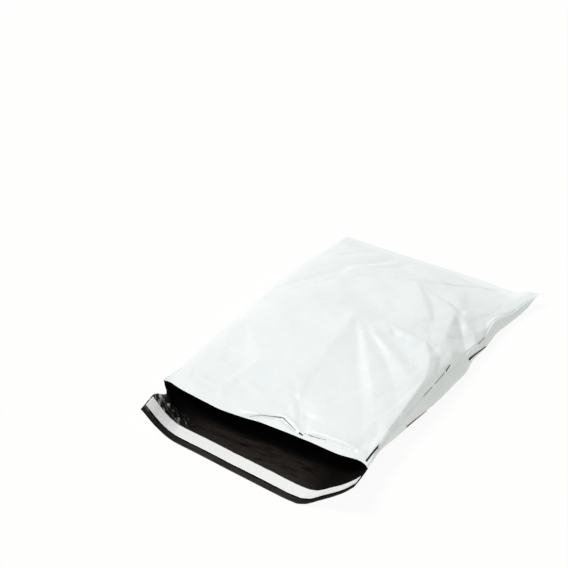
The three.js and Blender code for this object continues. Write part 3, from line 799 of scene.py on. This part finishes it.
class Finish:
    """The nodes of a material or a world, with one method that adds any node."""

    def __init__(self, owner, output="ShaderNodeOutputMaterial"):
        self.owner = owner
        owner.use_nodes = True
        self.tree = owner.node_tree
        self.tree.nodes.clear()
        self.output = self.tree.nodes.new(output)

    def node(self, kind, settings=None, values=None, output=0):
        made = self.tree.nodes.new(kind)
        for name, setting in (settings or {}).items():
            setattr(made, name, setting)
        for name, value in (values or {}).items():
            if isinstance(value, Reading):
                self.tree.links.new(value.socket, made.inputs[name])
            else:
                made.inputs[name].default_value = value
        return Reading(self, made.outputs[output])

    def mapping(self, place, **changes):
        return self.node("ShaderNodeMapping", values={"Vector": place, **changes})

    def place(self, stretch=(1, 1, 1)):
        """The place on the object, stretched so that a pattern is drawn out where it is small."""
        return self.mapping(self.node("ShaderNodeTexCoord", output="Object"), Scale=stretch)

    def noise(self, size, place, detail=3, roughness=0.5, distortion=0.0):
        """Soft noise whose patches are about size millimetres wide."""
        values = {
            "Vector": place, "Scale": 1 / (size * MM), "Detail": detail,
            "Roughness": roughness, "Distortion": distortion,
        }
        return self.node("ShaderNodeTexNoise", {}, values, "Fac")

    def cells(self, size, place):
        """The distance from the edges of cells about size millimetres wide."""
        settings = {"feature": "DISTANCE_TO_EDGE"}
        values = {"Vector": place, "Scale": 1 / (size * MM)}
        return self.node("ShaderNodeTexVoronoi", settings, values, "Distance")

    def mix(self, share, first, second):
        """A colour between two colours."""
        values = {0: share, 6: first, 7: second}
        return self.node("ShaderNodeMix", {"data_type": "RGBA"}, values, 2)

    def bump(self, height, depth):
        """Small relief: height from 0 to 1 stands depth millimetres."""
        return self.node("ShaderNodeBump", {}, {"Height": height, "Distance": depth * MM})

    def seen_by(self, kinds):
        """1 for rays of these kinds and 0 for the others."""
        rays = [self.node("ShaderNodeLightPath", output=f"Is {kind} Ray") for kind in kinds]
        return sum(rays, 0.0)

    def showing(self, shader):
        """The material or the world, which shows this shader."""
        self.tree.links.new(shader.socket, self.output.inputs["Surface"])
        return self.owner

    def surface(self, **sockets):
        names = {name.replace("_", " ").title(): value for name, value in sockets.items()}
        for wrong, right in (("Ior", "IOR"), ("Specular Ior Level", "Specular IOR Level")):
            if wrong in names:
                names[right] = names.pop(wrong)
        return self.showing(self.node("ShaderNodeBsdfPrincipled", {}, names))


def colour(red, green, blue):
    return (red, green, blue, 1.0)


def material_finish(name):
    return Finish(bpy.data.materials.new(name))


# The depth of the film's crinkles in millimetres, and its refraction of light
FILM_CRINKLE_DEPTH = 0.5
FILM_IOR = 1.5


def film_relief(finish):
    """The crinkles too small to model: short straight creases, ripples and a dry texture."""
    here = finish.place()
    wander = finish.noise(14, here, detail=2)
    creases = finish.cells(9, finish.place((1, 0.6, 1))).between(0, 0.12)
    fine = finish.noise(3.5, here, detail=4, roughness=0.6)
    ripple = finish.noise(11, finish.place((0.5, 1, 1)), detail=3, distortion=0.6)
    height = creases * 0.25 * wander + fine * 0.35 + ripple * 0.8
    return finish.bump(height, FILM_CRINKLE_DEPTH)


def white_film():
    finish = material_finish("white outer film")
    here = finish.place()
    patches = finish.noise(60, here, detail=2).between(0.35, 0.65)
    return finish.surface(
        base_color=finish.mix(patches, colour(0.86, 0.905, 0.9), colour(0.885, 0.92, 0.915)),
        roughness=0.36 + 0.1 * finish.noise(25, here, detail=3),
        normal=film_relief(finish),
        ior=FILM_IOR,
    )


# Where the black film has a painted brown sheen and where painted glints streak its crumples:
# places from its unmarked to its marked side, in metres to the right of the bag's middle or behind
# its mouth line
SHEEN_FROM_LEFT, SHEEN_FROM_RIGHT = (-0.11, -0.06), (0.1, 0.06)
SHEEN_FROM_INSIDE = (0.014, 0.004)
MASK_STRAY = 0.012
GLINT_FROM_MIDDLE = (-0.09, -0.118)
GLINT_FROM_LINER, GLINT_FROM_INSIDE = (-0.04, -0.03), (0.002, -0.006)

# The painted glints run askew over the flap and are drawn out along their length
GLINT_TURN = 0.6
GLINT_STRETCH = (0.22, 1, 0.4)
GLINT_SIZE = 2.9


def black_film():
    finish = material_finish("black inner film")
    here = finish.place()
    patches = finish.noise(40, here, detail=3)
    dark = finish.mix(patches, colour(0.003, 0.0028, 0.0026), colour(0.006, 0.005, 0.0045))
    x, y = (finish.node("ShaderNodeSeparateXYZ", {}, {0: here}, axis) for axis in "XY")
    from_middle = x - MIDDLE_X * MM
    from_mouth = y - MOUTH_Y * MM + MASK_STRAY * patches
    # Painted sheen: a brown tint in streaks on the flat black film in front of the mouth line and
    # just inside it
    lying = from_middle.between(*SHEEN_FROM_LEFT) * from_middle.between(*SHEEN_FROM_RIGHT)
    sheen_streaks = finish.noise(7, finish.place((0.25, 1, 1)), detail=3).between(0.3, 0.55)
    painted_sheen = lying * from_mouth.between(*SHEEN_FROM_INSIDE) * sheen_streaks
    with_sheen = finish.mix(painted_sheen, dark, colour(0.021, 0.0165, 0.014))
    # Painted glints: pale streaks over the hard crumples at the left of the flap
    turned = finish.mapping(here, Rotation=(0, 0, GLINT_TURN))
    drawn = finish.mapping(turned, Scale=GLINT_STRETCH)
    painted_glints = finish.noise(GLINT_SIZE, drawn, distortion=0.3).between(0.5, 0.68)
    open_flap = from_mouth.between(*GLINT_FROM_LINER) * from_mouth.between(*GLINT_FROM_INSIDE)
    glint_area = from_middle.between(*GLINT_FROM_MIDDLE) * open_flap
    tint = finish.mix(glint_area * painted_glints, with_sheen, colour(0.5, 0.49, 0.48))
    return finish.surface(
        base_color=tint,
        specular_ior_level=0.11,
        roughness=0.32 + 0.16 * finish.noise(20, here, detail=3),
        normal=film_relief(finish),
        ior=FILM_IOR,
    )


def liner_film():
    finish = material_finish("siliconed liner")
    across = finish.place((1, 0.18, 1))
    creases = finish.noise(2.2, across, detail=4, roughness=0.62)
    fine = finish.cells(4, across).between(0, 0.1)
    # The liner is a touch lighter where its creases stand high
    crease_tone = creases.between(0.3, 0.7)
    return finish.surface(
        base_color=finish.mix(crease_tone, colour(0.925, 0.94, 0.925), colour(0.95, 0.96, 0.95)),
        roughness=0.4,
        specular_ior_level=0.8,
        ior=1.7,
        normal=finish.bump(creases + fine * 0.3, 0.12),
    )


def adhesive_gum():
    finish = material_finish("hot melt adhesive")
    drag = finish.noise(3, finish.place((0.3, 1, 1)), detail=3)
    tint = finish.mix(drag, colour(0.72, 0.68, 0.52), colour(0.8, 0.77, 0.63))
    return finish.surface(base_color=tint, roughness=0.25, normal=finish.bump(drag, 0.3))


bag = make_film_bag([white_film(), black_film()])
liner = make_strip(
    ("liner_over_adhesive", "release_liner", "liner"), liner_film(),
    margins=(LINER_END_MARGIN, 0), strips=LINER_STRIPS,
    lift=LINER_LIFT, thickness=LINER_THICKNESS, cockle=liner_cockle,
)
adhesive = make_strip(
    ("hot_melt_line", "adhesive_strip", "adhesive"), adhesive_gum(),
    margins=(ADHESIVE_END_MARGIN, ADHESIVE_SIDE_MARGIN), strips=ADHESIVE_STRIPS,
    lift=ADHESIVE_LIFT, thickness=ADHESIVE_THICKNESS,
)

# The camera, as fitted to the bag's outline. Its aim and distance are in millimetres, the aim
# measured from the middle of the mouth line, and its focal length is in pixels of the image.
CAMERA_AZIMUTH = math.radians(32.385)
CAMERA_ELEVATION = math.radians(32.716)
CAMERA_DISTANCE = 2074.1
CAMERA_AIM = Vector((-168.5, 312.5, 0))
IMAGE_SIDE = 568
FOCAL_PIXELS = 1500


def make_camera():
    level = Vector((math.sin(CAMERA_AZIMUTH), -math.cos(CAMERA_AZIMUTH), 0))
    back = level * math.cos(CAMERA_ELEVATION) + Vector((0, 0, math.sin(CAMERA_ELEVATION)))
    data = bpy.data.cameras.new("camera")
    data.sensor_width = 36
    data.lens = data.sensor_width * FOCAL_PIXELS / IMAGE_SIDE
    data.clip_start, data.clip_end = 0.05, 50
    camera = bpy.data.objects.new("camera", data)
    camera.location = (Vector(HOME) + CAMERA_AIM + back * CAMERA_DISTANCE) * MM
    camera.rotation_euler = back.to_track_quat("Z", "Y").to_euler()
    bpy.context.scene.collection.objects.link(camera)
    bpy.context.scene.camera = camera


# The studio: a white floor and room, one soft lamp from the upper left and the sky's even light
SKY_LIGHT = 0.54
LAMP_STRENGTH = 1.62
LAMP_SOFTNESS = math.radians(20)
LAMP_FROM = Vector((-0.6, -0.24, 1.0))

# Rays of these kinds meet plain white in place of the room, and nearly so in place of the floor
WHITE = colour(1, 1, 1)
RAYS_TO_THE_WHITE = ("Camera", "Glossy", "Transmission")
FLOOR_WHITE_SHARE = 0.91
FLOOR_COLOUR = colour(0.93, 0.94, 0.87)

# How far the floor reaches each way and how far it lies below the bag, in metres
FLOOR_REACH = 6
FLOOR_GAP = 0.0002


def make_room():
    room = Finish(bpy.data.worlds.new("studio"), "ShaderNodeOutputWorld")
    sky = colour(SKY_LIGHT, SKY_LIGHT, SKY_LIGHT)
    light, white = (room.node("ShaderNodeBackground", {}, {"Color": c}) for c in (sky, WHITE))
    seen = room.seen_by(RAYS_TO_THE_WHITE)
    both = room.node("ShaderNodeMixShader", {}, {0: seen, 1: light, 2: white})
    bpy.context.scene.world = room.showing(both)

    lamp = bpy.data.lights.new("soft_lamp", "SUN")
    lamp.energy = LAMP_STRENGTH
    lamp.angle = LAMP_SOFTNESS
    holder = bpy.data.objects.new("soft_lamp", lamp)
    holder.rotation_euler = LAMP_FROM.to_track_quat("Z", "Y").to_euler()
    bpy.context.scene.collection.objects.link(holder)


def make_floor():
    finish = material_finish("studio floor")
    plain = finish.node("ShaderNodeBsdfDiffuse", {}, {"Color": FLOOR_COLOUR})
    white = finish.node("ShaderNodeEmission", {}, {"Color": WHITE, "Strength": 1.0})
    seen = finish.seen_by(RAYS_TO_THE_WHITE) * FLOOR_WHITE_SHARE
    both = finish.node("ShaderNodeMixShader", {}, {0: seen, 1: plain, 2: white})
    bm = bmesh.new()
    bmesh.ops.create_grid(bm, x_segments=1, y_segments=1, size=FLOOR_REACH)
    mesh = bpy.data.meshes.new("floor")
    bm.to_mesh(mesh)
    bm.free()
    mesh.materials.append(finish.showing(both))
    floor = bpy.data.objects.new("floor", mesh)
    floor.location.z = low_corner.z - FLOOR_GAP
    bpy.context.scene.collection.objects.link(floor)


make_camera()
make_room()
make_floor()
bpy.context.scene.view_settings.view_transform = "Standard"
